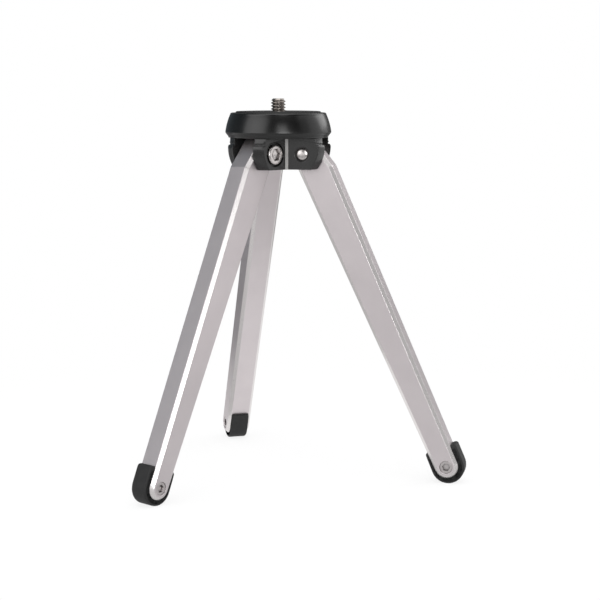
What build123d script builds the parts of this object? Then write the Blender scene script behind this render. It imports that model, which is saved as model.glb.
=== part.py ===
from build123d import *
import os
from math import asin, atan2, cos, degrees, radians, sin

# Tabletop tripod: a round black head with a camera screw, standing on three folding legs.
# All sizes are in millimetres. The origin is the centre of the camera seat, +Z is up, and
# the legs are modelled open, each against the stop that holds its spread.

# Camera screw, a 1/4 inch socket-head screw with a reduced shank, put in from below
stud_radius = 3.11
stud_height = 5.35
stud_bevel = 0.5
camera_shank_radius = 2.75
camera_bore_clearance = 0.2
camera_head_radius = 4.76
camera_head_height = 6.35
camera_head_recess = 0.65
camera_head_clearance = 0.14
camera_socket_across = 4.76
camera_socket_depth = 3.0

# Rubber grip pad let into the top plate
grip_proud = 0.6
grip_recess = 0.6
grip_margin = 1.7
grip_bore_radius = 4.2

# Top plate, a turned disc that overhangs the hub
plate_overhang = 9.9
plate_height = 10.4
plate_rim_rise = 2.1
plate_rim_round = 0.4
plate_side_draw = 2.1
plate_side_bulge = 0.3
plate_edge_round = 0.7
plate_undercut = 1.3
plate_neck_height = 0.5

# Hub, milled from round bar into a core with a pair of ears for each leg
core_wall = 1.9
ear_thickness = 4.7
ear_inset = 0.2
ear_lip_height = 1.3
ear_flank_height = 2.3
ear_below_hinge = 6.45
ear_draw = 3.2
ear_foot_round = 0.8
groove_drop = 2.4
groove_height = 0.8
pocket_corner_radius = 1.8
slot_corner_radius = 1.0

# Dowels that keep the plate from turning on the hub
dowel_radius = 1.5
dowel_length = 8.0
dowel_bevel = 0.3

# Leg hinges, each on a socket-head screw with a thin friction washer either side of the leg
open_angle = 25.0
hinge_pin_radius = 2.5
hinge_head_radius = 4.1
hinge_head_height = 2.1
hinge_head_recess = 1.55
hinge_head_clearance = 0.9
hinge_head_round = 0.3
hinge_socket_across = 4.5
hinge_socket_depth = 1.5
hinge_tail_sink = 0.1
hinge_tail_round = 0.5
hinge_mouth_radius = 3.1
washer_thickness = 0.25

# Legs, solid bars with bevelled edges that taper towards the foot
leg_length = 145.0
leg_width = 11.0
knuckle_radius = 5.5
crown_height = 6.5
crown_reach = 1.75
crown_face_round = 0.43
elbow_reach = 9.0
elbow_drop = 6.45
elbow_face_round = 1.63
foot_radius = 5.0
edge_bevel = 1.37

# Rubber feet, strips round the leg's end with a tongue in its forked tip
sole_thickness = 2.5
outer_wall_thickness = 2.35
outer_wall_height = 7.8
outer_wall_round = 1.15
inner_wall_tip = 1.25
inner_wall_thickness = 1.65
inner_wall_height = 8.2
tongue_thickness = 3.0
fork_depth = 6.5

# Foot screws, each into a barrel nut with the same head
foot_head_radius = 2.7
foot_head_height = 1.5
foot_head_recess = 1.8
foot_head_round = 0.3
foot_screw_radius = 1.5
foot_barrel_radius = 2.0
foot_socket_across = 3.0
foot_socket_depth = 1.1
foot_barrel_play = 0.2
foot_screw_play = 1.0

# Fits
running_clearance = 0.05
seat_clearance = 0.02
side_play = 0.05
stop_gap = 0.1
knuckle_gap = 0.3
rubber_gap = 0.05
tongue_gap = 0.1

# Angles about the tripod's axis of the legs and of the gaps between them
leg_names = ("back", "left", "right")
leg_count = len(leg_names)
half_pitch = 180 / leg_count
first_azimuth = 90
leg_azimuths = {name: first_azimuth + 2 * half_pitch * turn for turn, name in enumerate(leg_names)}
gap_azimuths = {"left": first_azimuth + half_pitch, "front": first_azimuth + 3 * half_pitch,
                "right": first_azimuth - half_pitch}

# Radii from the tripod's axis outwards
camera_bore_radius = stud_radius + camera_bore_clearance
camera_pocket_radius = camera_head_radius + camera_head_clearance
slot_floor = camera_pocket_radius + core_wall
hinge_radius = slot_floor + knuckle_gap + knuckle_radius
rim_radius = hinge_radius + plate_overhang
neck_radius = rim_radius - plate_undercut
plate_top_radius = rim_radius - plate_side_draw
grip_radius = plate_top_radius - plate_edge_round - grip_margin
ear_radius = rim_radius - ear_inset
ear_foot_radius = ear_radius - ear_draw

# Levels from the seat down
plate_top = -grip_proud
parting = plate_top - plate_height
rim_level = parting + plate_rim_rise
hinge_level = parting - stop_gap - crown_height
hub_bottom = hinge_level - ear_below_hinge
hub_height = parting - hub_bottom
camera_pocket_depth = camera_head_recess + camera_head_height
camera_head_seat = hub_bottom + camera_pocket_depth

# Distances across a leg, from its middle plane
half_leg = leg_width / 2
half_slot = half_leg + washer_thickness + side_play
ear_face = half_slot + ear_thickness
strip_half = half_leg - edge_bevel
crown_round = edge_bevel + crown_face_round
elbow_round = edge_bevel + elbow_face_round
foot_span = leg_width - 2 * foot_head_recess
dowel_circle = (half_slot + ear_face) / 2 / sin(radians(half_pitch))
pocket_corner = ear_face / sin(radians(half_pitch))
pocket_reach = 2 * rim_radius


def polar(distance, angle):
    return Vector(distance * cos(radians(angle)), distance * sin(radians(angle)))


def leg_plane(azimuth):
    """Middle plane of an open leg: x runs down it from the hinge axis and y towards the tripod's axis."""
    down_leg = polar(sin(radians(open_angle)), azimuth) - Vector(0, 0, cos(radians(open_angle)))
    hinge = polar(hinge_radius, azimuth) + Vector(0, 0, hinge_level)
    return Plane(origin=hinge, x_dir=down_leg, z_dir=polar(1, azimuth + 90))


def cross_plane(azimuth, along, offset):
    """Plane square to a leg's hinge axis, facing away from the leg, so far down it and off its middle."""
    middle = leg_plane(azimuth)
    origin = middle.from_local_coords(Vector(along, 0, offset))
    facing = middle.z_dir if offset > 0 else -middle.z_dir
    return Plane(origin=origin, x_dir=middle.x_dir, z_dir=facing)


def tangent_angle(circle, next_circle):
    """Direction of the line that touches two circles on the left of the way between them."""
    way = next_circle[0] - circle[0]
    lean = asin((circle[1] - next_circle[1]) / way.length)
    return degrees(atan2(way.Y, way.X) - lean) + 90


def draw_belt(circles):
    """Lines and arcs drawn tight round circles, each a centre and a radius, taken clockwise."""
    following = circles[1:] + circles[:1]
    leaving = [tangent_angle(*pair) for pair in zip(circles, following)]
    arriving = leaving[-1:] + leaving[:-1]
    for circle, next_circle, start, end in zip(circles, following, arriving, leaving):
        centre, radius = circle
        next_centre, next_radius = next_circle
        CenterArc(centre, radius, start, -((start - end) % 360))
        Line(centre + polar(radius, end), next_centre + polar(next_radius, end))


def leg_circles(grow=0.0):
    """Knuckle, foot, elbow and crown circles that a leg's side view is drawn round."""
    up = polar(1, 180 + open_angle)
    outwards = polar(1, open_angle - 90)
    elbow = outwards * elbow_reach - up * elbow_drop
    crown = outwards * crown_reach + up * (crown_height - crown_round)
    return [(Vector(0, 0), knuckle_radius + grow),
            (Vector(leg_length, 0), foot_radius + grow),
            (elbow, elbow_round + grow),
            (crown, crown_round + grow)]


def foot_circles():
    """Inner tip, sole and outer top circles that a rubber foot's side view is drawn round."""
    knuckle, foot, elbow, crown = leg_circles()
    sole_radius = foot_radius + (outer_wall_thickness + inner_wall_thickness) / 2
    drop = foot_radius + sole_thickness - sole_radius
    sole = foot[0] + Vector(drop, (inner_wall_thickness - outer_wall_thickness) / 2)
    inner = tangent_angle(knuckle, foot)
    tip_radius = inner_wall_tip / 2
    tip = (foot[0] + polar(foot_radius + tip_radius, inner)
           + polar(inner_wall_height - tip_radius, inner + 90))
    outer = tangent_angle(foot, elbow)
    top = (foot[0] + polar(foot_radius + outer_wall_thickness - outer_wall_round, outer)
           + polar(outer_wall_height - outer_wall_round, outer - 90))
    return [(tip, tip_radius), (sole, sole_radius), (top, outer_wall_round)]


def socket_screw(seat, head, shank, socket, shank_round=0.0, bore=None):
    """Screw with its head on a seat plane and its shank below, and a hex socket in the head.

    The head is a radius, a height and a rounding, the shank a radius and a length, the socket a
    width across flats and a depth, and the bore up the shank of a barrel nut a radius and a depth.
    """
    head_radius, head_height, head_round = head
    shank_radius, shank_length = shank
    across, depth = socket
    with BuildPart() as screw:
        with BuildSketch(seat):
            Circle(head_radius)
        extrude(amount=head_height)
        fillet(screw.faces().sort_by(Axis(seat.origin, seat.z_dir))[-1].edges(), head_round)
        with BuildSketch(seat):
            Circle(shank_radius)
        extrude(amount=-shank_length)
        if shank_round:
            fillet(screw.faces().sort_by(Axis(seat.origin, seat.z_dir))[0].edges(), shank_round)
        with BuildSketch(seat.offset(head_height)):
            RegularPolygon(across / 2, 6, major_radius=False)
        extrude(amount=-depth, mode=Mode.SUBTRACT)
        if bore:
            bore_radius, bore_depth = bore
            with BuildSketch(seat.offset(-shank_length)):
                Circle(bore_radius)
            extrude(amount=bore_depth, mode=Mode.SUBTRACT)
    return screw


def save(piece, name):
    piece.part.label = name
    export_step(piece.part, f"parts/{name}.step")


os.makedirs("parts", exist_ok=True)

# Top plate: turned side, undercut to the neck, with a recess for the pad
with BuildPart() as top_plate:
    with BuildSketch(Plane.XZ):
        with BuildLine():
            Polyline((0, plate_top), (0, parting), (neck_radius, parting),
                     (neck_radius, parting + plate_neck_height), (rim_radius, rim_level))
            side_top = (plate_top_radius, plate_top - plate_edge_round)
            SagittaArc((rim_radius, rim_level), side_top, -plate_side_bulge)
            edge_top = (plate_top_radius - plate_edge_round, plate_top)
            RadiusArc(side_top, edge_top, -plate_edge_round)
            Line(edge_top, (0, plate_top))
        make_face()
    revolve(axis=Axis.Z)
    fillet(top_plate.edges().group_by(SortBy.LENGTH)[-1], plate_rim_round)
    with BuildSketch(Plane.XY.offset(plate_top)):
        Circle(grip_radius + rubber_gap)
    extrude(amount=-grip_recess, mode=Mode.SUBTRACT)
    with BuildSketch(Plane.XY.offset(parting)):
        Circle(camera_bore_radius)
    extrude(amount=plate_height, mode=Mode.SUBTRACT)
    with BuildSketch(Plane.XY.offset(parting)):
        with PolarLocations(dowel_circle, leg_count, first_azimuth + half_pitch):
            Circle(dowel_radius + seat_clearance)
    extrude(amount=dowel_length / 2, mode=Mode.SUBTRACT)
save(top_plate, "top_plate")

# Grip pad: a flat rubber ring that the camera sits on
with BuildPart() as grip_pad:
    with BuildSketch(Plane.XY.offset(plate_top - grip_recess)):
        Circle(grip_radius)
        Circle(grip_bore_radius, mode=Mode.SUBTRACT)
    extrude(amount=grip_recess + grip_proud)
save(grip_pad, "grip_pad")

# Hub: turned outside with a groove, then leg slots, the pockets between the ears and the bores
with BuildPart() as hub:
    with BuildSketch(Plane.XZ):
        with BuildLine():
            ear_widest = (ear_radius, parting - ear_lip_height - ear_flank_height)
            Polyline((0, hub_bottom), (0, parting), (neck_radius, parting),
                     (neck_radius, parting - ear_lip_height), ear_widest)
            TangentArc(ear_widest, (ear_foot_radius, hub_bottom), tangent=(0, -1))
            Line((ear_foot_radius, hub_bottom), (0, hub_bottom))
        make_face()
    revolve(axis=Axis.Z)
    fillet(hub.faces().sort_by(Axis.Z)[0].edges(), ear_foot_round)
    with BuildSketch(Plane.XZ):
        with Locations((neck_radius, parting - groove_drop)):
            Rectangle(rim_radius, groove_height, align=(Align.MIN, Align.CENTER))
    revolve(axis=Axis.Z, mode=Mode.SUBTRACT)
    with BuildSketch(Plane.XY.offset(parting)) as slots:
        with PolarLocations(slot_floor, leg_count, first_azimuth):
            Rectangle(rim_radius, 2 * half_slot, align=(Align.MIN, Align.CENTER))
        fillet(slots.vertices().sort_by_distance((0, 0))[: 2 * leg_count], slot_corner_radius)
    extrude(amount=-hub_height, mode=Mode.SUBTRACT)
    with BuildSketch(Plane.XY.offset(parting)) as pockets:
        with PolarLocations(pocket_corner, leg_count, first_azimuth + half_pitch):
            Polygon((0, 0), polar(pocket_reach, -half_pitch), polar(pocket_reach, half_pitch), align=None)
        fillet(pockets.vertices().sort_by_distance((0, 0))[:leg_count], pocket_corner_radius)
    extrude(amount=-hub_height, mode=Mode.SUBTRACT)
    with BuildSketch(Plane.XY.offset(parting)):
        with PolarLocations(dowel_circle, leg_count, first_azimuth + half_pitch):
            Circle(dowel_radius + seat_clearance)
    extrude(amount=-dowel_length / 2, mode=Mode.SUBTRACT)
    with Locations(Plane(origin=(0, 0, hub_bottom), z_dir=(0, 0, -1))):
        CounterBoreHole(camera_bore_radius, camera_pocket_radius, camera_pocket_depth)
    for azimuth in leg_azimuths.values():
        with Locations(cross_plane(azimuth, 0, ear_face)):
            CounterBoreHole(hinge_pin_radius + seat_clearance, hinge_head_radius + hinge_head_clearance,
                            hinge_head_recess, depth=2 * ear_face)
        with Locations(cross_plane(azimuth, 0, -ear_face)):
            CounterSinkHole(hinge_pin_radius + seat_clearance, hinge_mouth_radius, depth=ear_thickness)
save(hub, "hub")

# Camera screw: socket head in the hub, reduced shank through the plate, stud above the seat
with BuildPart() as camera_screw:
    with BuildSketch(Plane.XY.offset(camera_head_seat)):
        Circle(camera_head_radius)
    extrude(amount=-camera_head_height)
    with BuildSketch(Plane.XY.offset(camera_head_seat)):
        Circle(camera_shank_radius)
    extrude(amount=-camera_head_seat)
    with BuildSketch(Plane.XY):
        Circle(stud_radius)
    extrude(amount=stud_height)
    chamfer(camera_screw.faces().sort_by(Axis.Z)[-1].edges(), stud_bevel)
    with BuildSketch(Plane.XY.offset(camera_head_seat - camera_head_height)):
        RegularPolygon(camera_socket_across / 2, 6, major_radius=False)
    extrude(amount=camera_socket_depth, mode=Mode.SUBTRACT)
save(camera_screw, "camera_screw")

# Plate dowels: half in the hub and half in the plate, one in each gap between the legs
for place, azimuth in gap_azimuths.items():
    with BuildPart() as plate_dowel:
        with BuildSketch(Plane.XY.offset(parting - dowel_length / 2)):
            with Locations(polar(dowel_circle, azimuth)):
                Circle(dowel_radius)
        extrude(amount=dowel_length)
        chamfer(plate_dowel.edges().filter_by(GeomType.CIRCLE), dowel_bevel)
    save(plate_dowel, f"plate_dowel_{place}")

for place, azimuth in leg_azimuths.items():
    # Leg bar: bevelled all round, bored for the hinge, forked and counterbored at the foot
    with BuildPart() as leg_bar:
        with BuildSketch(leg_plane(azimuth)):
            with BuildLine():
                draw_belt(leg_circles())
            make_face()
        extrude(amount=half_leg, both=True)
        chamfer(leg_bar.faces().filter_by(Axis((0, 0, 0), polar(1, azimuth + 90))).edges(), edge_bevel)
        with BuildSketch(leg_plane(azimuth)):
            Circle(hinge_pin_radius + running_clearance)
        extrude(amount=half_leg, both=True, mode=Mode.SUBTRACT)
        with BuildSketch(leg_plane(azimuth)):
            with Locations((leg_length - fork_depth, 0)):
                Rectangle(fork_depth + 2 * foot_radius, 4 * foot_radius, align=(Align.MIN, Align.CENTER))
        extrude(amount=tongue_thickness / 2 + tongue_gap, both=True, mode=Mode.SUBTRACT)
        for side in (half_leg, -half_leg):
            with Locations(cross_plane(azimuth, leg_length, side)):
                CounterBoreHole(foot_barrel_radius + running_clearance, foot_head_radius + running_clearance,
                                foot_head_recess, depth=half_leg)
    save(leg_bar, f"leg_bar_{place}")

    # Rubber foot: a strip between the leg's bevels, and a tongue that the foot screw holds
    with BuildPart() as foot_pad:
        with BuildSketch(leg_plane(azimuth)):
            with BuildLine():
                draw_belt(foot_circles())
            make_face()
            with BuildLine():
                draw_belt(leg_circles(rubber_gap))
            make_face(mode=Mode.SUBTRACT)
        extrude(amount=strip_half, both=True)
        with BuildSketch(leg_plane(azimuth)):
            with BuildLine():
                draw_belt(foot_circles())
            make_face()
            with Locations((leg_length - fork_depth + tongue_gap, 0)):
                Rectangle(leg_length, leg_length, align=(Align.MAX, Align.CENTER), mode=Mode.SUBTRACT)
        extrude(amount=tongue_thickness / 2, both=True)
        with BuildSketch(leg_plane(azimuth)):
            with Locations((leg_length, 0)):
                Circle(foot_barrel_radius + running_clearance)
        extrude(amount=tongue_thickness, both=True, mode=Mode.SUBTRACT)
    save(foot_pad, f"foot_pad_{place}")

    # Hinge screw: head sunk into one ear, tail threaded into the other
    hinge_seat = cross_plane(azimuth, 0, ear_face).offset(-hinge_head_recess)
    hinge_shank_length = 2 * ear_face - hinge_head_recess - hinge_tail_sink
    hinge_screw = socket_screw(hinge_seat, (hinge_head_radius, hinge_head_height, hinge_head_round),
                               (hinge_pin_radius, hinge_shank_length),
                               (hinge_socket_across, hinge_socket_depth), hinge_tail_round)
    save(hinge_screw, f"hinge_screw_{place}")

    # Friction washers: one on each side of the knuckle
    for side, name in ((half_leg, "head"), (-half_leg, "tail")):
        with BuildPart() as hinge_washer:
            with BuildSketch(cross_plane(azimuth, 0, side)):
                Circle(knuckle_radius - edge_bevel)
                Circle(hinge_pin_radius + running_clearance, mode=Mode.SUBTRACT)
            extrude(amount=washer_thickness)
        save(hinge_washer, f"hinge_washer_{place}_{name}")

    # Foot screw and its barrel nut, in from opposite faces of the leg
    foot_head = (foot_head_radius, foot_head_height, foot_head_round)
    foot_socket = (foot_socket_across, foot_socket_depth)
    screw_length = foot_span - foot_screw_play
    screw_seat = cross_plane(azimuth, leg_length, -half_leg).offset(-foot_head_recess)
    foot_screw = socket_screw(screw_seat, foot_head, (foot_screw_radius, screw_length), foot_socket)
    save(foot_screw, f"foot_screw_{place}")
    nut_length = foot_span - foot_barrel_play
    nut_seat = cross_plane(azimuth, leg_length, half_leg).offset(-foot_head_recess)
    foot_nut = socket_screw(nut_seat, foot_head, (foot_barrel_radius, nut_length), foot_socket,
                            bore=(foot_screw_radius + seat_clearance, screw_length))
    save(foot_nut, f"foot_nut_{place}")
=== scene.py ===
from math import asin, atan2, cos, pi, radians, sin

import bmesh
import bpy
from mathutils import Matrix, Vector


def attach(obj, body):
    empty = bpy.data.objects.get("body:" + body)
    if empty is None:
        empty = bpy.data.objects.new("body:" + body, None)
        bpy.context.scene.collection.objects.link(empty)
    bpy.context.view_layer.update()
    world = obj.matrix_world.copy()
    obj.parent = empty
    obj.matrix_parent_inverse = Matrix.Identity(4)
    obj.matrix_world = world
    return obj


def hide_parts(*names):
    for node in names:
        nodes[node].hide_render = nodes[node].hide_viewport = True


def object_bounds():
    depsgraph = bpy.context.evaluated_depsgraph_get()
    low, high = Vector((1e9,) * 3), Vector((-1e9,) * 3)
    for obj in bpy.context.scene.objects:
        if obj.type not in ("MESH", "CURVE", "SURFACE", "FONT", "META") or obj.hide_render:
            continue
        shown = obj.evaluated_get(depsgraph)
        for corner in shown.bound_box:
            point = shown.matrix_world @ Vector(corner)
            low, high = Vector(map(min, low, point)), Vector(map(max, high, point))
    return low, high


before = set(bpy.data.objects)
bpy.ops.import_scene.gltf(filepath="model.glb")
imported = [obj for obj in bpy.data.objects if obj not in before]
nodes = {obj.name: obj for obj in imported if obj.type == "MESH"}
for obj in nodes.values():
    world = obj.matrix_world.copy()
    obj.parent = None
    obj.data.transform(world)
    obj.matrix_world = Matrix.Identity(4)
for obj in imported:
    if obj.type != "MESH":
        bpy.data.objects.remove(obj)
cad_low, cad_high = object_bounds()

MM = 0.001
GROUND = cad_low.z
# Azimuth of each leg round the tripod's axis, in degrees
LEGS = {"back": 90, "left": 210, "right": 330}
# Points that are nearer to each other than this many metres become one
JOIN_DISTANCE = 0.000002

# Shader nodes
NOISE_ROUGHNESS = 0.55


def new_material(name):
    material = bpy.data.materials.new(name)
    material.use_nodes = True
    tree = material.node_tree
    return material, tree, tree.nodes["Principled BSDF"]


def add(tree, kind, **settings):
    node = tree.nodes.new(kind)
    for key, value in settings.items():
        setattr(node, key, value)
    return node


def math_node(tree, operation, first, second=None):
    node = add(tree, "ShaderNodeMath", operation=operation)
    for socket, value in zip(node.inputs, (first, second)):
        if value is None:
            continue
        if isinstance(value, (int, float)):
            socket.default_value = value
        else:
            tree.links.new(value, socket)
    return node.outputs[0]


def noise(tree, vector, scale, detail):
    node = add(tree, "ShaderNodeTexNoise")
    node.inputs["Scale"].default_value = scale
    node.inputs["Detail"].default_value = detail
    node.inputs["Roughness"].default_value = NOISE_ROUGHNESS
    tree.links.new(vector, node.inputs["Vector"])
    return node.outputs["Fac"]


def spread(tree, value, low, high, start=0.3, end=0.7):
    """Map a value from start and end, where most of a noise lies, to low and high."""
    node = add(tree, "ShaderNodeMapRange")
    for name, number in (("From Min", start), ("From Max", end), ("To Min", low), ("To Max", high)):
        node.inputs[name].default_value = number
    tree.links.new(value, node.inputs["Value"])
    return node.outputs["Result"]


def blend(tree, factor, first, second):
    """Mix of two colours, which a mix node takes in sockets 6 and 7 and gives out in socket 2."""
    node = add(tree, "ShaderNodeMix", data_type="RGBA")
    tree.links.new(factor, node.inputs["Factor"])
    for socket, colour in ((node.inputs[6], first), (node.inputs[7], second)):
        if isinstance(colour, tuple):
            socket.default_value = (*colour, 1)
        else:
            tree.links.new(colour, socket)
    return node.outputs[2]


def mottled(tree, cloud, dark, light):
    """Colour that drifts between two colours with a noise."""
    return blend(tree, spread(tree, cloud, 0, 1), dark, light)


def bump(tree, shader, height, strength, distance):
    node = add(tree, "ShaderNodeBump")
    node.inputs["Strength"].default_value = strength
    node.inputs["Distance"].default_value = distance
    tree.links.new(height, node.inputs["Height"])
    tree.links.new(node.outputs["Normal"], shader.inputs["Normal"])


def object_coordinates(tree):
    return add(tree, "ShaderNodeTexCoord").outputs["Object"]


# Materials. A leg's face is a bevel where the cosine of its angle to the hinge axis is near BEVEL_COSINE:
# wholly within the first of BEVEL_LIMITS, and not at all beyond the second
BEVEL_COSINE = 0.707
BEVEL_LIMITS = (0.2, 0.26)
BEVEL_COLOUR = (0.74, 0.712, 0.708)
BEVEL_POLISH = 0.12
# Painted shade: in sockets and thread roots, steel keeps this share of its colour; the limits are of the
# light that gets in, as ambient occlusion finds it
PAINTED_SHADE_SHARE = 0.3
PAINTED_SHADE_LIMITS = (0.35, 0.85)
PAINTED_SHADE_DISTANCE = 0.0012


def satin_aluminium(leg):
    """Blasted aluminium of one leg, whose bevels, at 45 degrees to its hinge axis, are cut bright."""
    material, tree, shader = new_material(f"satin_aluminium_{leg}")
    place = object_coordinates(tree)
    cloud = noise(tree, place, scale=90, detail=3)
    grain = noise(tree, place, scale=4200, detail=3)
    azimuth = radians(LEGS[leg])
    lean = add(tree, "ShaderNodeVectorMath", operation="DOT_PRODUCT")
    tree.links.new(add(tree, "ShaderNodeTexCoord").outputs["Normal"], lean.inputs[0])
    lean.inputs[1].default_value = (-sin(azimuth), cos(azimuth), 0)
    cosine = math_node(tree, "ABSOLUTE", lean.outputs["Value"])
    off_bevel = math_node(tree, "ABSOLUTE", math_node(tree, "SUBTRACT", cosine, BEVEL_COSINE))
    bevel = spread(tree, off_bevel, 1, 0, *BEVEL_LIMITS)
    plain = mottled(tree, cloud, (0.604, 0.559, 0.571), (0.634, 0.588, 0.599))
    tree.links.new(blend(tree, bevel, plain, BEVEL_COLOUR), shader.inputs["Base Color"])
    polish = math_node(tree, "MULTIPLY", bevel, BEVEL_POLISH)
    roughness = math_node(tree, "SUBTRACT", spread(tree, grain, 0.36, 0.44), polish)
    tree.links.new(roughness, shader.inputs["Roughness"])
    shader.inputs["Metallic"].default_value = 1.0
    bump(tree, shader, grain, strength=0.1, distance=0.00004)
    return material


def black_anodised(name, dark, light):
    material, tree, shader = new_material(name)
    place = object_coordinates(tree)
    cloud = noise(tree, place, scale=240, detail=4)
    grain = noise(tree, place, scale=6500, detail=2)
    tree.links.new(mottled(tree, cloud, dark, light), shader.inputs["Base Color"])
    tree.links.new(spread(tree, grain, 0.22, 0.28), shader.inputs["Roughness"])
    shader.inputs["Specular IOR Level"].default_value = 0.52
    bump(tree, shader, grain, strength=0.07, distance=0.00004)
    return material


def steel(name, dark, light, roughness):
    """Steel with painted shade: its sockets and thread roots are darkened where ambient occlusion finds
    little light.
    """
    material, tree, shader = new_material(name)
    cloud = noise(tree, object_coordinates(tree), scale=900, detail=3)
    occlusion = add(tree, "ShaderNodeAmbientOcclusion", only_local=True, samples=8)
    occlusion.inputs["Distance"].default_value = PAINTED_SHADE_DISTANCE
    bare = mottled(tree, cloud, dark, light)
    # Painted shade: the steel's colour is darkened where ambient occlusion finds little light
    painted_shade_colour = tuple(PAINTED_SHADE_SHARE * level for level in dark)
    colour = blend(tree, spread(tree, occlusion.outputs["AO"], 0, 1, *PAINTED_SHADE_LIMITS), painted_shade_colour, bare)
    tree.links.new(colour, shader.inputs["Base Color"])
    tree.links.new(spread(tree, cloud, *roughness), shader.inputs["Roughness"])
    shader.inputs["Metallic"].default_value = 1.0
    bump(tree, shader, cloud, strength=0.06, distance=0.00005)
    return material


def black_rubber():
    material, tree, shader = new_material("black_rubber_matte")
    place = object_coordinates(tree)
    cloud = noise(tree, place, scale=260, detail=5)
    grain = noise(tree, place, scale=3800, detail=3)
    colour = mottled(tree, cloud, (0.010, 0.010, 0.0104), (0.017, 0.0167, 0.017))
    tree.links.new(colour, shader.inputs["Base Color"])
    tree.links.new(spread(tree, cloud, 0.55, 0.68), shader.inputs["Roughness"])
    shader.inputs["Specular IOR Level"].default_value = 0.35
    bump(tree, shader, grain, strength=0.2, distance=0.00006)
    return material


def black_nylon():
    material, tree, shader = new_material("black_nylon_matte")
    cloud = noise(tree, object_coordinates(tree), scale=900, detail=3)
    colour = mottled(tree, cloud, (0.014, 0.014, 0.014), (0.024, 0.024, 0.024))
    tree.links.new(colour, shader.inputs["Base Color"])
    tree.links.new(spread(tree, cloud, 0.45, 0.6), shader.inputs["Roughness"])
    return material


# Each anodised black has a dark and a light colour, and each steel a range of roughness too
MATERIALS = {
    "black_anodised": black_anodised("black_anodised_satin", (0.002, 0.002, 0.002),
                                     (0.0034, 0.0033, 0.0034)),
    "stainless_steel": steel("stainless_steel_bright", (0.58, 0.545, 0.535), (0.66, 0.625, 0.615),
                             (0.2, 0.3)),
    "black_rubber": black_rubber(),
    "black_nylon": black_nylon(),
}
# The camera screw's steel is a darker, browner copy of the bright steel
DARK_STEEL = steel("stainless_steel_dark", (0.32, 0.29, 0.265), (0.42, 0.385, 0.355), (0.28, 0.38))
# Painted light: the hub's copy of the anodised black is lighter than the plate's, for the light its ears
# catch
LIT_BLACK = black_anodised("black_anodised_lit", (0.009, 0.0089, 0.0089), (0.013, 0.0128, 0.0128))
# Painted highlight: a pale grey copy of the anodised black for the pocket webs, for the shine in the
# pockets' corners
PAINTED_HIGHLIGHT_BLACK = black_anodised("black_anodised_painted_highlight", (0.25, 0.245, 0.24), (0.31, 0.304, 0.298))
# Painted shade: a darker copy of the steel for the foot screws, for the dark surroundings they reflect
SHADED_STEEL = steel("stainless_steel_shaded", (0.46, 0.43, 0.43), (0.56, 0.53, 0.53), (0.28, 0.38))

# Finish of the CAD nodes; the widths of the edge rounds are in millimetres
EDGE_WIDTHS = {"leg_bar": 0.14, "hub": 0.2, "foot_screw": 0.1, "foot_nut": 0.1}
EDGE_SEGMENTS = 3
EDGE_ANGLE = radians(28)
FLAT_ANGLE = radians(0.5)


def finish_edges(node, width, fastener):
    """Round the sharp edges of a node; on a fastener, the rounds are narrowed where they would cross."""
    weld = node.modifiers.new("join_faces", "WELD")
    weld.merge_threshold = JOIN_DISTANCE
    flat = node.modifiers.new("flatten", "DECIMATE")
    flat.decimate_type = "DISSOLVE"
    flat.angle_limit = FLAT_ANGLE
    edge = node.modifiers.new("soft_edges", "BEVEL")
    edge.width = width
    edge.segments = EDGE_SEGMENTS
    edge.limit_method = "ANGLE"
    edge.angle_limit = EDGE_ANGLE
    edge.use_clamp_overlap = fastener
    edge.loop_slide = fastener
    edge.harden_normals = True


for name, node in nodes.items():
    slot = node.material_slots[0]
    fastener = name.startswith(("foot_screw", "foot_nut"))
    if name.startswith("leg_bar"):
        slot.material = satin_aluminium(name.split("_")[-1])
    elif name == "hub":
        slot.material = LIT_BLACK
    elif fastener:
        slot.material = SHADED_STEEL
    else:
        slot.material = MATERIALS[slot.material.name.split(".")[0]]
    for start, width in EDGE_WIDTHS.items():
        if name.startswith(start):
            finish_edges(node, width * MM, fastener)


# Meshes woven through rows of points, in millimetres in a local frame
RING_COUNT = 96


def add_mesh(name, vertices, faces):
    mesh = bpy.data.meshes.new(name)
    mesh.from_pydata(vertices, [], faces)
    piece = bpy.data.objects.new(name, mesh)
    bpy.context.scene.collection.objects.link(piece)
    return piece


def weave(name, sheets, caps, place, sharp=35):
    """Mesh of sheets, each a list of rows of points, and of caps, each a closed outline.

    Points that touch are joined. Edges of more than the sharp angle, in degrees, aren't shaded smooth.
    """
    vertices, faces = [], []
    for rows in sheets:
        count = len(rows[0])
        for line in range(len(rows) - 1):
            here = len(vertices) + line * count
            faces += [(here + step, here + step + 1, here + step + 1 + count, here + step + count)
                      for step in range(count - 1)]
        vertices += [point for row in rows for point in row]
    for outline in caps:
        faces.append(range(len(vertices), len(vertices) + len(outline) - 1))
        vertices += outline[:-1]
    piece = add_mesh(name, [place @ (Vector(point) * MM) for point in vertices], faces)
    shape = bmesh.new()
    shape.from_mesh(piece.data)
    bmesh.ops.remove_doubles(shape, verts=shape.verts, dist=JOIN_DISTANCE)
    bmesh.ops.dissolve_degenerate(shape, edges=shape.edges, dist=JOIN_DISTANCE)
    bmesh.ops.recalc_face_normals(shape, faces=shape.faces)
    shape.to_mesh(piece.data)
    shape.free()
    piece.data.shade_smooth()
    piece.data.set_sharp_from_angle(angle=radians(sharp))
    return piece


def stand_in(piece, node, body, slot, material=None):
    piece.data.materials.append(material or MATERIALS[slot])
    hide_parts(node)
    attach(piece, body)


def ring(radius, height, count=RING_COUNT):
    """Closed circle, or any outline whose radius is a function of the angle."""
    turns = [2 * pi * (step % count) / count for step in range(count + 1)]
    sizes = [radius(turn) if callable(radius) else radius for turn in turns]
    return [(size * cos(turn), size * sin(turn), height) for size, turn in zip(sizes, turns)]


def hexagon(across):
    return lambda turn: across / 2 / cos(turn % (pi / 3) - pi / 6)


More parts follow.
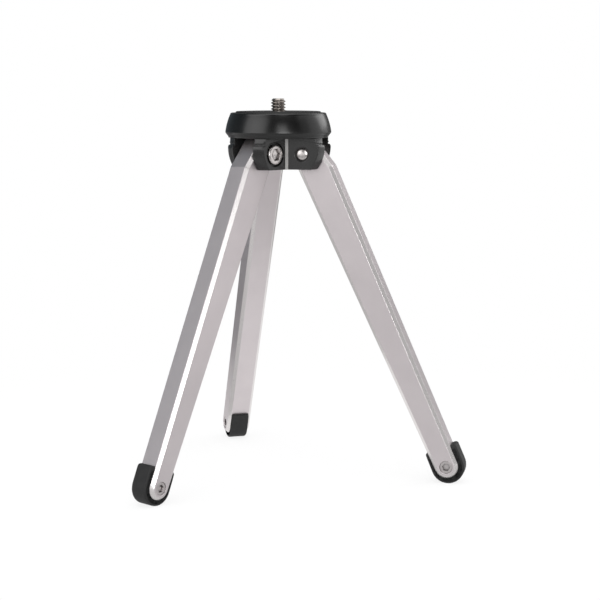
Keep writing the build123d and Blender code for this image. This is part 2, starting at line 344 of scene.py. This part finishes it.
def quarter(steps):
    """Angles from nothing to a quarter turn."""
    return [pi / 2 * step / steps for step in range(steps + 1)]


# Camera screw: 1/4 inch thread of 20 turns to the inch, on a shank with a socket head below
STUD_RADIUS = 3.11
STUD_TOP = 5.35
THREAD_PITCH = 1.27
THREAD_DEPTH = 0.74
THREAD_START = -0.9
THREAD_INSET = 0.02
THREAD_RUN_OUT = 1.5
# A pitch has eight rows, at these shares of the pitch, cut in by these shares of the depth
THREAD_SHARES = (0.06, 0.19, 0.31, 0.44, 0.56, 0.69, 0.81, 0.94)
THREAD_CUTS = (0.0, 0.34, 0.67, 1.0, 1.0, 0.67, 0.34, 0.0)
SPARE_PITCHES = 2
TIP_RADIUS = 2.2
SHANK_RADIUS = 2.75
SHANK_BEVEL = 0.55
SCREW_HEAD_RADIUS = 4.76
SCREW_HEAD_TOP = -17.05
SCREW_HEAD_BOTTOM = -23.4
SCREW_HEAD_BEVEL = 0.15
SCREW_RIM, SCREW_RIM_MIDDLE = 0.6, 0.2
SCREW_SOCKET_ACROSS = 4.76
SCREW_SOCKET_DEPTH = 3.0
SCREW_SOCKET_BEVEL = 0.25


def thread_point(turn, height, depth):
    """Point of the thread, kept within a cone at each end."""
    height = min(max(height, THREAD_START), STUD_TOP)
    upper_cone = TIP_RADIUS + STUD_TOP - height
    lower_cone = TIP_RADIUS + THREAD_RUN_OUT * (height - THREAD_START)
    radius = min(STUD_RADIUS - THREAD_INSET - depth, upper_cone, lower_cone)
    return (radius * cos(turn), radius * sin(turn), height)


def thread_rows():
    """Rows that climb with the thread, cut off level at both ends."""
    rows = []
    pitches = int((STUD_TOP - THREAD_START) / THREAD_PITCH)
    for pitch in range(-SPARE_PITCHES, pitches + SPARE_PITCHES):
        for share, cut in zip(THREAD_SHARES, THREAD_CUTS):
            row = []
            for step in range(RING_COUNT + 1):
                turn = 2 * pi * (step % RING_COUNT) / RING_COUNT
                height = THREAD_START + (pitch + share + step / RING_COUNT) * THREAD_PITCH
                row.append(thread_point(turn, height, cut * THREAD_DEPTH))
            rows.append(row)
    return rows


screw_below = [
    ring(TIP_RADIUS, THREAD_START),
    ring(SHANK_RADIUS, THREAD_START - SHANK_BEVEL),
    ring(SHANK_RADIUS, SCREW_HEAD_TOP),
    ring(SCREW_HEAD_RADIUS - SCREW_HEAD_BEVEL, SCREW_HEAD_TOP),
    ring(SCREW_HEAD_RADIUS, SCREW_HEAD_TOP - SCREW_HEAD_BEVEL),
    ring(SCREW_HEAD_RADIUS, SCREW_HEAD_BOTTOM + SCREW_RIM),
    ring(SCREW_HEAD_RADIUS - SCREW_RIM_MIDDLE, SCREW_HEAD_BOTTOM + SCREW_RIM_MIDDLE),
    ring(SCREW_HEAD_RADIUS - SCREW_RIM, SCREW_HEAD_BOTTOM),
    ring(hexagon(SCREW_SOCKET_ACROSS + 2 * SCREW_SOCKET_BEVEL), SCREW_HEAD_BOTTOM),
    ring(hexagon(SCREW_SOCKET_ACROSS), SCREW_HEAD_BOTTOM + SCREW_SOCKET_BEVEL),
    ring(hexagon(SCREW_SOCKET_ACROSS), SCREW_HEAD_BOTTOM + SCREW_SOCKET_DEPTH),
]
camera_screw = weave("camera_screw_threaded", [thread_rows(), screw_below],
                     [ring(TIP_RADIUS, STUD_TOP), screw_below[-1]], Matrix.Identity(4))
stand_in(camera_screw, "camera_screw", "head", "stainless_steel", DARK_STEEL)

# Top plate: a turned disc with a well rounded rim and a softened lower edge
PLATE_TOP, PARTING = -0.6, -11.0
PLATE_RIM = Vector((22.5, -8.9))
PLATE_NECK = Vector((21.2, -10.5))
PLATE_SIDE_TOP = Vector((20.4, -1.3))
PLATE_SIDE_BULGE = 0.3
PLATE_SIDE_START = 0.05
PLATE_SIDE_STEPS = 24
PLATE_EDGE_ROUND = 0.7
PLATE_RIM_REACH = 0.5
PLATE_FOOT_ROUND = 0.3
PLATE_ROUND_STEPS = 8
PLATE_BORE = 3.31
PLATE_COUNT = 160
RECESS_RADIUS, RECESS_FLOOR = 18.05, -1.2
RECESS_BEVEL = 0.15


def plate_side(share):
    """Point on the plate's side, which bulges between the rim, at share 0, and the top edge, at share 1."""
    slope = PLATE_SIDE_TOP - PLATE_RIM
    outward = Vector((slope.y, -slope.x)).normalized()
    return PLATE_RIM + slope * share + outward * 4 * PLATE_SIDE_BULGE * share * (1 - share)


def plate_rim(share):
    """Point on the curve that rounds the rim, from the neck's side to the plate's side."""
    below = PLATE_RIM + (PLATE_NECK - PLATE_RIM).normalized() * PLATE_RIM_REACH
    above = plate_side(PLATE_SIDE_START)
    return below * (1 - share) ** 2 + PLATE_RIM * 2 * share * (1 - share) + above * share ** 2


plate_section = [Vector((PLATE_BORE, PARTING))]
plate_section += [Vector((PLATE_NECK.x - PLATE_FOOT_ROUND * (1 - sin(turn)),
                          PARTING + PLATE_FOOT_ROUND * (1 - cos(turn))))
                  for turn in quarter(PLATE_ROUND_STEPS)]
plate_section += [PLATE_NECK]
plate_section += [plate_rim(step / PLATE_ROUND_STEPS) for step in range(PLATE_ROUND_STEPS + 1)]
plate_section += [plate_side(PLATE_SIDE_START + (1 - PLATE_SIDE_START) * step / PLATE_SIDE_STEPS)
                  for step in range(1, PLATE_SIDE_STEPS + 1)]
plate_section += [Vector((PLATE_SIDE_TOP.x - PLATE_EDGE_ROUND * (1 - cos(turn)),
                          PLATE_SIDE_TOP.y + PLATE_EDGE_ROUND * sin(turn)))
                  for turn in quarter(PLATE_ROUND_STEPS)[1:]]
plate_section += [
    Vector((RECESS_RADIUS + RECESS_BEVEL, PLATE_TOP)),
    Vector((RECESS_RADIUS, PLATE_TOP - RECESS_BEVEL)),
    Vector((RECESS_RADIUS, RECESS_FLOOR)),
    Vector((PLATE_BORE, RECESS_FLOOR)),
    Vector((PLATE_BORE, PARTING)),
]
plate_rows = [ring(point.x, point.y, PLATE_COUNT) for point in plate_section]
top_plate = weave("top_plate_turned", [plate_rows], [], Matrix.Identity(4), sharp=40)
stand_in(top_plate, "top_plate", "head", "black_anodised")

# Webs that flatten the bottoms of the pockets between the hub's ears; they are pale grey, a painted
# highlight for the shine in each pocket's concave corner
GAPS = {"left": 150, "front": 270, "right": 30}
WEB_HALF = 0.65
WEB_BACK, WEB_FRONT = 12.0, 12.53
WEB_BOTTOM = -23.95

web_outline = [(WEB_BACK, -WEB_HALF), (WEB_FRONT, -WEB_HALF), (WEB_FRONT, WEB_HALF), (WEB_BACK, WEB_HALF),
               (WEB_BACK, -WEB_HALF)]
web_rows = [[(x, y, height) for x, y in web_outline] for height in (PARTING, WEB_BOTTOM)]
for gap, azimuth in GAPS.items():
    web = weave(f"pocket_web_{gap}", [web_rows], web_rows, Matrix.Rotation(radians(azimuth), 4, "Z"))
    web.data.materials.append(PAINTED_HIGHLIGHT_BLACK)
    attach(web, "head")

# Grip pad: rounded rubber ring with fine turned ridges between its grooves
PAD_RADIUS = 18.0
PAD_BORE = 4.2
PAD_BOTTOM = -1.2
PAD_ROUND = 0.35
PAD_ROUND_STEPS = 6
PAD_COUNT = 128
GROOVES = 9
GROOVE_START = 1.6
GROOVE_PITCH = 1.2
GROOVE_DEPTH = 0.1
GROOVE_WIDTH = 0.4
GROOVE_SLOPE = 0.12

pad_section = [(PAD_BORE, PAD_BOTTOM)]
pad_section += [(PAD_BORE + PAD_ROUND * (1 - cos(turn)), PAD_ROUND * (sin(turn) - 1))
                for turn in quarter(PAD_ROUND_STEPS)]
for groove in range(GROOVES):
    inside = PAD_BORE + GROOVE_START + groove * GROOVE_PITCH
    outside = inside + GROOVE_WIDTH
    pad_section += [(inside, 0), (inside + GROOVE_SLOPE, -GROOVE_DEPTH)]
    pad_section += [(outside - GROOVE_SLOPE, -GROOVE_DEPTH), (outside, 0)]
pad_section += [(PAD_RADIUS - PAD_ROUND * (1 - sin(turn)), PAD_ROUND * (cos(turn) - 1))
                for turn in quarter(PAD_ROUND_STEPS)]
pad_section += [(PAD_RADIUS, PAD_BOTTOM), (PAD_BORE, PAD_BOTTOM)]
pad_rows = [ring(radius, height, PAD_COUNT) for radius, height in pad_section]
grip_pad = weave("grip_pad_ridged", [pad_rows], [], Matrix.Identity(4), sharp=50)
stand_in(grip_pad, "grip_pad", "head", "black_rubber")

# Rubber feet: rounded strips round the ends of the legs, each with a tongue in the leg's fork.
# A leg's outline, and a strip's, runs round circles, each a centre and a radius
OPEN_ANGLE = radians(25)
HINGE_RADIUS = 12.6
HINGE_LEVEL = -17.6
LEG_LENGTH = 145.0
ELBOW_OUT, ELBOW_DOWN = 9.0, 6.45
ELBOW_RADIUS = 3.0
ELBOW_CENTRE = Vector((ELBOW_OUT * sin(OPEN_ANGLE) + ELBOW_DOWN * cos(OPEN_ANGLE),
                       ELBOW_DOWN * sin(OPEN_ANGLE) - ELBOW_OUT * cos(OPEN_ANGLE)))
ELBOW = (ELBOW_CENTRE, ELBOW_RADIUS)
KNUCKLE_RADIUS = 5.5
KNUCKLE = (Vector((0, 0)), KNUCKLE_RADIUS)
FOOT_CENTRE = Vector((LEG_LENGTH, 0))
FOOT_RADIUS = 5.0
FOOT = (FOOT_CENTRE, FOOT_RADIUS)
STRIP_HALF = 4.13
STRIP_ROUND = 0.75
STRIP_ROUND_STEPS = 7
STRIP_CORNER = 1.3
STRIP_GAP = 0.05
STRIP_LEAST_DEPTH = 0.05
STRIP_MOST_ROUND = 0.9
STRIP_END_INSET = 0.02
STRIP_BEND_STEPS = 32
SOLE, OUTER_WALL, INNER_WALL = 2.5, 2.35, 1.65
OUTER_HEIGHT, INNER_HEIGHT = 7.8, 8.2
OUTER_ROUND, TIP_ROUND = 1.15, 0.625
# Shares of a wall's height where the strip has a row, closer together near the wall's end
INNER_SHARES = (1.0, 0.995, 0.98, 0.96, 0.93, 0.9, 0.8, 0.6, 0.4, 0.2)
OUTER_SHARES = (0.2, 0.4, 0.6, 0.75, 0.84, 0.88, 0.91, 0.94, 0.965, 0.985, 0.995, 1.0)
# The strip's depth is the least in a fan of so many steps to each side, each of so many degrees
FAN_STEPS = 170
FAN_ANGLE = 0.5
TONGUE_HALF = 1.5
TONGUE_REACH = 6.4
TONGUE_BORE = 2.05
TONGUE_ROOT = 0.4
TONGUE_COUNT = 48
NEAR_ZERO = 0.001


def way(angle):
    return Vector((cos(angle), sin(angle)))


def tangent_angle(circle, other):
    """Direction, seen from both centres, of the points where a line touches two circles on its left."""
    run = other[0] - circle[0]
    return atan2(run.y, run.x) - asin((circle[1] - other[1]) / run.length) + pi / 2


INNER_ANGLE = tangent_angle(KNUCKLE, FOOT)
OUTER_ANGLE = tangent_angle(FOOT, ELBOW) - 2 * pi
INNER_UP = way(INNER_ANGLE + pi / 2)
OUTER_UP = way(OUTER_ANGLE - pi / 2)
SOLE_RADIUS = FOOT_RADIUS + (OUTER_WALL + INNER_WALL) / 2
STRIP_CIRCLES = (
    (FOOT_CENTRE + way(INNER_ANGLE) * (FOOT_RADIUS + TIP_ROUND) + INNER_UP * (INNER_HEIGHT - TIP_ROUND),
     TIP_ROUND),
    (FOOT_CENTRE + Vector((FOOT_RADIUS + SOLE - SOLE_RADIUS, (INNER_WALL - OUTER_WALL) / 2)),
     SOLE_RADIUS),
    (FOOT_CENTRE + way(OUTER_ANGLE) * (FOOT_RADIUS + OUTER_WALL - OUTER_ROUND)
     + OUTER_UP * (OUTER_HEIGHT - OUTER_ROUND),
     OUTER_ROUND),
)


def strip_depth(point, angle):
    """How far the strip's outside is from a point, in the direction of an angle."""
    depths = []
    for step in range(-FAN_STEPS, FAN_STEPS + 1):
        facing = way(angle + radians(step * FAN_ANGLE))
        reach = max(centre.dot(facing) + radius for centre, radius in STRIP_CIRCLES) - point.dot(facing)
        depths.append(reach / facing.dot(way(angle)))
    return min(depths)


def end_half(left):
    """Half the strip's width so far from its end, where its corners are rounded."""
    short = max(STRIP_CORNER - left, 0)
    return STRIP_HALF - STRIP_CORNER + (STRIP_CORNER ** 2 - short ** 2) ** 0.5


def wall_stations(angle, up, height, shares):
    """Stations on one straight wall of the strip."""
    foot = FOOT_CENTRE + way(angle) * (FOOT_RADIUS + STRIP_GAP)
    return [(foot + up * (height - STRIP_END_INSET) * share, angle, end_half((1 - share) * height))
            for share in shares]


def strip_stations():
    """Points on the leg, with the way they face and the strip's half width there.

    They go from the top of the inner wall round the foot to the top of the outer wall.
    """
    stations = wall_stations(INNER_ANGLE, INNER_UP, INNER_HEIGHT, INNER_SHARES)
    for step in range(STRIP_BEND_STEPS + 1):
        angle = INNER_ANGLE + (OUTER_ANGLE - INNER_ANGLE) * step / STRIP_BEND_STEPS
        stations.append((FOOT_CENTRE + way(angle) * (FOOT_RADIUS + STRIP_GAP), angle, STRIP_HALF))
    return stations + wall_stations(OUTER_ANGLE, OUTER_UP, OUTER_HEIGHT, OUTER_SHARES)


def strip_row(point, angle, half):
    """Outline of the strip's section at a station, with its two outer corners rounded."""
    depth = max(strip_depth(point, angle), STRIP_LEAST_DEPTH)
    bend = min(STRIP_ROUND, STRIP_MOST_ROUND * depth)
    corner = [(half - bend * (1 - cos(turn)), depth - bend * (1 - sin(turn)))
              for turn in quarter(STRIP_ROUND_STEPS)]
    section = [(half, 0.0)] + corner + [(-across, out) for across, out in reversed(corner)]
    section += [(-half, 0.0), (half, 0.0)]
    return [(*(point + way(angle) * out), across) for across, out in section]


def tongue_radius(turn):
    """Outline of the tongue: round towards the sole, square towards the leg."""
    if cos(turn) >= 0:
        return FOOT_RADIUS + TONGUE_ROOT
    return min(FOOT_RADIUS / max(abs(sin(turn)), NEAR_ZERO), TONGUE_REACH / max(-cos(turn), NEAR_ZERO))


def tongue_row(radius, height):
    return [(x + LEG_LENGTH, y, z) for x, y, z in ring(radius, height, TONGUE_COUNT)]


def leg_frame(azimuth):
    """Frame of an open leg: x down it from the hinge axis, y towards the tripod's axis."""
    out = Vector((cos(azimuth), sin(azimuth), 0))
    down = out * sin(OPEN_ANGLE) - Vector((0, 0, cos(OPEN_ANGLE)))
    across = Vector((-sin(azimuth), cos(azimuth), 0))
    turn = Matrix((down, across.cross(down), across)).transposed()
    return Matrix.Translation((out * HINGE_RADIUS + Vector((0, 0, HINGE_LEVEL))) * MM) @ turn.to_4x4()


strip_rows = [strip_row(*station) for station in strip_stations()]
tongue_rows = [
    tongue_row(tongue_radius, -TONGUE_HALF),
    tongue_row(tongue_radius, TONGUE_HALF),
    tongue_row(TONGUE_BORE, TONGUE_HALF),
    tongue_row(TONGUE_BORE, -TONGUE_HALF),
    tongue_row(tongue_radius, -TONGUE_HALF),
]
for leg, azimuth in LEGS.items():
    foot_pad = weave(f"foot_pad_{leg}_rounded", [strip_rows, tongue_rows], [strip_rows[0], strip_rows[-1]],
                     leg_frame(radians(azimuth)), sharp=50)
    stand_in(foot_pad, f"foot_pad_{leg}", f"leg_{leg}", "black_rubber")

# Hinge screws: socket heads with rounded rims and drill points, and domed tails
EAR_FACE = 10.5
HINGE_PIN_RADIUS = 2.5
HINGE_HEAD_RADIUS = 4.1
HINGE_HEAD_SUNK, HINGE_HEAD_HEIGHT = 1.55, 2.1
HINGE_HEAD_BOTTOM = EAR_FACE - HINGE_HEAD_SUNK
HINGE_HEAD_TOP = HINGE_HEAD_BOTTOM + HINGE_HEAD_HEIGHT
HINGE_RIM_WIDTH, HINGE_RIM_HEIGHT = 0.9, 0.6
HINGE_SOCKET_ACROSS = 4.5
HINGE_SOCKET_DEPTH = 1.5
HINGE_SOCKET_FLOOR = HINGE_HEAD_TOP - HINGE_SOCKET_DEPTH
HINGE_SOCKET_BEVEL = 0.2
HINGE_DRILL_RADIUS = 1.9
HINGE_DRILL_DEPTH = 0.7
HINGE_DRILL_TIP = 0.1
HINGE_TAIL_INSET = 0.1
HINGE_TAIL = HINGE_TAIL_INSET - EAR_FACE
HINGE_DOME = 0.7
HINGE_ROUND_STEPS = 7

round_turns = quarter(HINGE_ROUND_STEPS)[1:]
hinge_rows = [ring(HINGE_PIN_RADIUS * sin(turn), HINGE_TAIL + HINGE_DOME * (1 - cos(turn)))
              for turn in round_turns]
hinge_rows += [
    ring(HINGE_PIN_RADIUS, HINGE_HEAD_BOTTOM),
    ring(HINGE_HEAD_RADIUS, HINGE_HEAD_BOTTOM),
    ring(HINGE_HEAD_RADIUS, HINGE_HEAD_TOP - HINGE_RIM_HEIGHT),
]
hinge_rows += [ring(HINGE_HEAD_RADIUS - HINGE_RIM_WIDTH * (1 - cos(turn)),
                    HINGE_HEAD_TOP - HINGE_RIM_HEIGHT * (1 - sin(turn)))
               for turn in round_turns]
hinge_rows += [
    ring(hexagon(HINGE_SOCKET_ACROSS + 2 * HINGE_SOCKET_BEVEL), HINGE_HEAD_TOP),
    ring(hexagon(HINGE_SOCKET_ACROSS), HINGE_HEAD_TOP - HINGE_SOCKET_BEVEL),
    ring(hexagon(HINGE_SOCKET_ACROSS), HINGE_SOCKET_FLOOR),
    ring(HINGE_DRILL_RADIUS, HINGE_SOCKET_FLOOR),
    ring(HINGE_DRILL_TIP, HINGE_SOCKET_FLOOR - HINGE_DRILL_DEPTH),
]
for leg, azimuth in LEGS.items():
    hinge_screw = weave(f"hinge_screw_{leg}_turned", [hinge_rows], [hinge_rows[0], hinge_rows[-1]],
                        leg_frame(radians(azimuth)))
    stand_in(hinge_screw, f"hinge_screw_{leg}", "head", "stainless_steel")

# Floor and world. To the camera, the floor is this clear near the origin and wholly clear far from it
FLOOR_REACH = 6.0
FLOOR_CLEAR = 0.82
FLOOR_NEAR, FLOOR_FAR = 0.16, 0.32
WORLD_LIGHT = 0.8


def seen_directly(tree):
    """1 for rays of the camera, reflections and clear faces, and 0 for rays that gather light."""
    path = add(tree, "ShaderNodeLightPath")
    both = math_node(tree, "MAXIMUM", path.outputs["Is Camera Ray"], path.outputs["Is Glossy Ray"])
    return math_node(tree, "MAXIMUM", both, path.outputs["Is Transmission Ray"])


def mix_shaders(tree, factor, first, second, output):
    mix = add(tree, "ShaderNodeMixShader")
    tree.links.new(factor, mix.inputs[0])
    tree.links.new(first.outputs[0], mix.inputs[1])
    tree.links.new(second.outputs[0], mix.inputs[2])
    tree.links.new(mix.outputs[0], output.inputs["Surface"])


floor_corners = [(x * FLOOR_REACH, y * FLOOR_REACH, GROUND)
                 for x, y in ((-1, -1), (1, -1), (1, 1), (-1, 1))]
floor = add_mesh("floor", floor_corners, [(0, 1, 2, 3)])
floor_material, tree, shader = new_material("floor_white")
shader.inputs["Base Color"].default_value = (0.9, 0.9, 0.9, 1)
shader.inputs["Roughness"].default_value = 0.9
shader.inputs["Specular IOR Level"].default_value = 0.0
clear = add(tree, "ShaderNodeBsdfTransparent")
spot = add(tree, "ShaderNodeVectorMath", operation="LENGTH")
tree.links.new(add(tree, "ShaderNodeNewGeometry").outputs["Position"], spot.inputs[0])
clearness = spread(tree, spot.outputs["Value"], FLOOR_CLEAR, 1.0, FLOOR_NEAR, FLOOR_FAR)
mix_shaders(tree, math_node(tree, "MULTIPLY", seen_directly(tree), clearness), shader, clear,
            tree.nodes["Material Output"])
floor.data.materials.append(floor_material)

world = bpy.data.worlds.new("studio")
bpy.context.scene.world = world
world.use_nodes = True
tree = world.node_tree
tree.nodes.clear()
light = add(tree, "ShaderNodeBackground")
light.inputs["Color"].default_value = (1, 1, 1, 1)
light.inputs["Strength"].default_value = WORLD_LIGHT
white = add(tree, "ShaderNodeBackground")
white.inputs["Color"].default_value = (1, 1, 1, 1)
mix_shaders(tree, seen_directly(tree), light, white, add(tree, "ShaderNodeOutputWorld"))

# Camera, where the photo was taken from
CAMERA_AZIMUTH = radians(-16.142)
CAMERA_DISTANCE = 0.69
CAMERA_HEIGHT = 0.1703
CAMERA_PITCH = radians(7.81)
CAMERA_PAN = radians(0.761)
CAMERA_ROLL = radians(-0.019)
CAMERA_LENS, CAMERA_SENSOR = 97.19, 36

camera = bpy.data.objects.new("camera", bpy.data.cameras.new("camera"))
bpy.context.scene.collection.objects.link(camera)
camera.data.sensor_width = CAMERA_SENSOR
camera.data.lens = CAMERA_LENS
camera.matrix_world = (
    Matrix.Translation((CAMERA_DISTANCE * sin(CAMERA_AZIMUTH), -CAMERA_DISTANCE * cos(CAMERA_AZIMUTH),
                        GROUND + CAMERA_HEIGHT))
    @ Matrix.Rotation(CAMERA_AZIMUTH - CAMERA_PAN, 4, "Z")
    @ Matrix.Rotation(pi / 2 - CAMERA_PITCH, 4, "X")
    @ Matrix.Rotation(CAMERA_ROLL, 4, "Z")
)
bpy.context.scene.camera = camera

# Lamps and cards, with azimuths in degrees from the camera's side, to the right.
# Each lamp has an azimuth, an elevation, a distance, a width, a height and a radiance
LAMP_AIM = Vector((0, 0, -0.06))
LAMPS = {
    "left": (-54, 22, 0.9, 0.9, 0.76, 0.95),
    "front_low": (13, 9, 0.9, 0.34, 0.22, 5),
    "front_middle": (8, 20, 0.9, 0.3, 0.34, 2.2),
    "front_high": (16, 58, 0.9, 0.32, 0.28, 1.4),
    "right": (124, 28, 0.9, 0.5, 0.5, 2),
    "top": (10, 76, 1.0, 0.8, 0.7, 1.6),
}
# Each card has two azimuths, a profile of reach and height, and a colour
CARD_COLUMNS = 16
CARD_LEVEL = GROUND + 0.001
WALL_FOOT = GROUND + 0.03
WALL = [(1.4, WALL_FOOT), (1.2, 0.9)]
FLOOR_CARD = [(0.3, CARD_LEVEL), (1.4, CARD_LEVEL)]
NEAR_CARD = [(0.05, CARD_LEVEL), (0.3, CARD_LEVEL)]
SIDE_CARD = [(0.3, CARD_LEVEL), (0.6, CARD_LEVEL)]
CARDS = {
    "card_front": ((-30, 52), [(1.4, 0.22), (1.4, 1.2), (0.7, 2.0)], (0.08, 0.08, 0.08)),
    "card_front_right": ((50, 74), [(1.4, -0.03), (1.4, 1.0)], (0.5, 0.5, 0.5)),
    "card_left": ((-78, -165), [(1.4, WALL_FOOT), (1.2, 0.6), (0.7, 1.2)], (0.135, 0.16, 0.175)),
    "card_back": ((165, 200), WALL, (0.15, 0.15, 0.15)),
    "card_right": ((136, 165), WALL, (0.18, 0.18, 0.18)),
    "card_floor_back": ((-122, -175), FLOOR_CARD, (0.25, 0.25, 0.26)),
    "card_floor_front": ((-70, 8), FLOOR_CARD, (0.4, 0.4, 0.4)),
    "card_floor_near": ((-88, 126), NEAR_CARD, (0.7, 0.7, 0.7)),
    "card_floor_under": ((-150, -88), NEAR_CARD, (0.6, 0.6, 0.6)),
    "card_band": ((-62, -42), [(1.2, 0.05), (1.2, 0.75)], (1.3, 1.3, 1.3)),
    "card_floor_mid": ((8, 58), FLOOR_CARD, (0.2, 0.2, 0.2)),
    "card_floor_side": ((58, 126), SIDE_CARD, (1.15, 1.15, 1.15)),
    "card_floor_right": ((130, 178), FLOOR_CARD, (0.22, 0.22, 0.22)),
}


def softbox(name, azimuth, elevation, distance, width, height, radiance):
    """Area lamp placed round the tripod, facing it."""
    turn = CAMERA_AZIMUTH + radians(azimuth)
    rise = radians(elevation)
    outward = Vector((sin(turn) * cos(rise), -cos(turn) * cos(rise), sin(rise)))
    lamp = bpy.data.lights.new(name, "AREA")
    lamp.shape = "RECTANGLE"
    lamp.size = width
    lamp.size_y = height
    lamp.energy = radiance * width * height * pi
    lamp_object = bpy.data.objects.new(name, lamp)
    facing = outward.to_track_quat("Z", "Y").to_matrix().to_4x4()
    lamp_object.matrix_world = Matrix.Translation(LAMP_AIM + outward * distance) @ facing
    lamp_object.visible_camera = False
    bpy.context.scene.collection.objects.link(lamp_object)


def card(name, azimuths, profile, colour):
    """Studio card, bent round the tripod along its profile, that only shows in reflections."""
    start, end = azimuths
    points, faces = [], []
    for row, (reach, height) in enumerate(profile):
        for column in range(CARD_COLUMNS + 1):
            turn = CAMERA_AZIMUTH + radians(start + (end - start) * column / CARD_COLUMNS)
            points.append((reach * sin(turn), -reach * cos(turn), height))
            if row and column:
                corner = len(points) - 1
                below = corner - CARD_COLUMNS - 1
                faces.append((corner, corner - 1, below - 1, below))
    piece = add_mesh(name, points, faces)
    material, tree, shader = new_material(name)
    glow = add(tree, "ShaderNodeEmission")
    glow.inputs["Color"].default_value = (*colour, 1)
    tree.links.new(glow.outputs[0], tree.nodes["Material Output"].inputs["Surface"])
    tree.nodes.remove(shader)
    piece.data.materials.append(material)
    for kind in ("camera", "diffuse", "shadow", "transmission", "volume_scatter"):
        setattr(piece, f"visible_{kind}", False)


for name, values in LAMPS.items():
    softbox(name, *values)
for name, values in CARDS.items():
    card(name, *values)

bpy.context.scene.view_settings.view_transform = "Standard"
